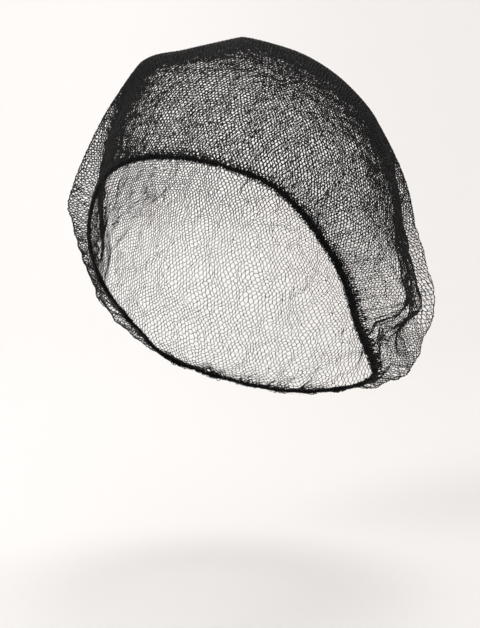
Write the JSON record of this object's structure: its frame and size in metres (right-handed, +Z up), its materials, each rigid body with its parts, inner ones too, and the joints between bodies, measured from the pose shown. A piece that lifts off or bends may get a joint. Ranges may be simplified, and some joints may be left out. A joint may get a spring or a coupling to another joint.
{
  "type": "hairnet",
  "caption": "Fine knitted black hairnet in its worn form: a full net bag with a soft pouch at the back, gathered on a narrow elastic edge band.",
  "frame": {"origin": "the point inside the net where it sits on the crown of the head", "axes": "+Z up along the head, -Y out of the forehead, +Y out of the nape, +X towards the wearer's left ear"},
  "size_m": [0.1862, 0.1922, 0.1941],
  "materials": {
    "net": "fine knitted nylon net, black",
    "elastic": "covered elastic, matt black"
  },
  "bodies": {
    "root": {"net_bag": "net", "elastic_band": "elastic"}
  },
  "joints": []
}
